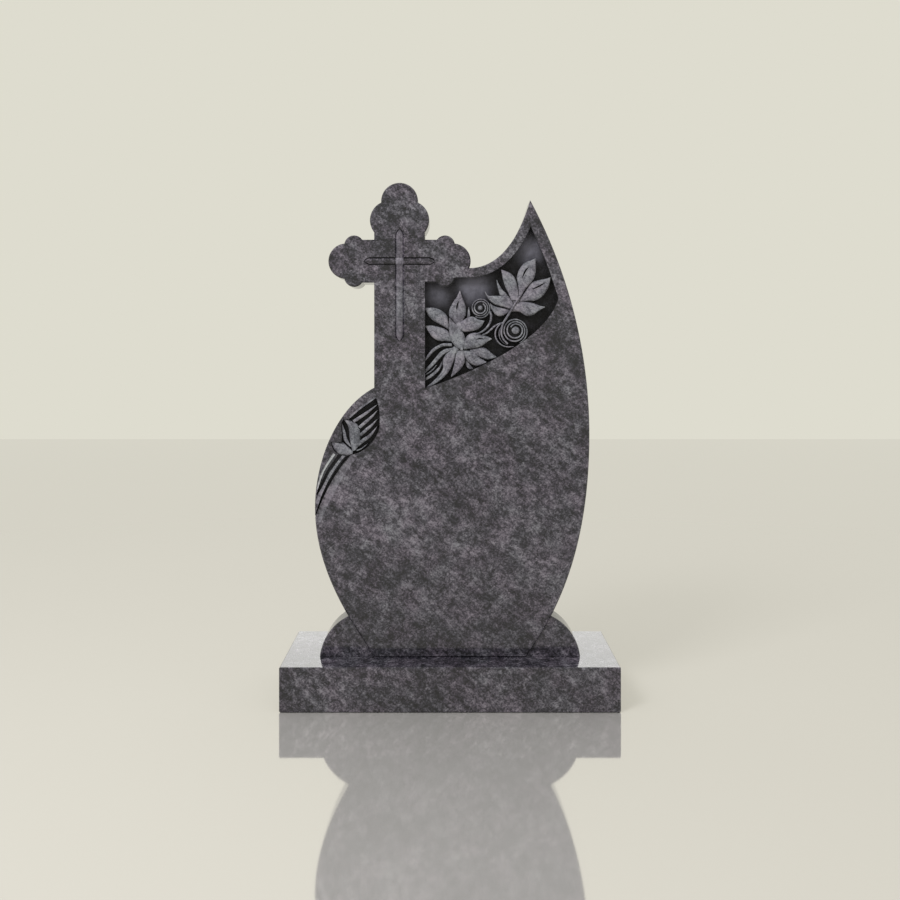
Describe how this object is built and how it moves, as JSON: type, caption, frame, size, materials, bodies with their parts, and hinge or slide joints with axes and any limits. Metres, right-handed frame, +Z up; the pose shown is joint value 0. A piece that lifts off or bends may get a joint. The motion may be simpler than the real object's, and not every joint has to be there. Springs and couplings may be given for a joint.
{
  "type": "headstone",
  "caption": "Granite headstone: an Orthodox cross growing out of a leaf-shaped tablet with carved flowers in a sunk panel, standing on a plain plinth.",
  "frame": {"origin": "middle of the plinth's underside", "axes": "+X to the right as seen from the front, +Z up, the carved front faces -Y"},
  "size_m": [0.698, 0.262, 1.0923],
  "materials": {
    "polished_granite": "polished grey-violet granite, streaked and speckled",
    "carved_granite": "the same granite, matte where it is carved"
  },
  "bodies": {
    "root": {"plinth": "polished_granite", "tablet": "polished_granite"}
  },
  "joints": []
}
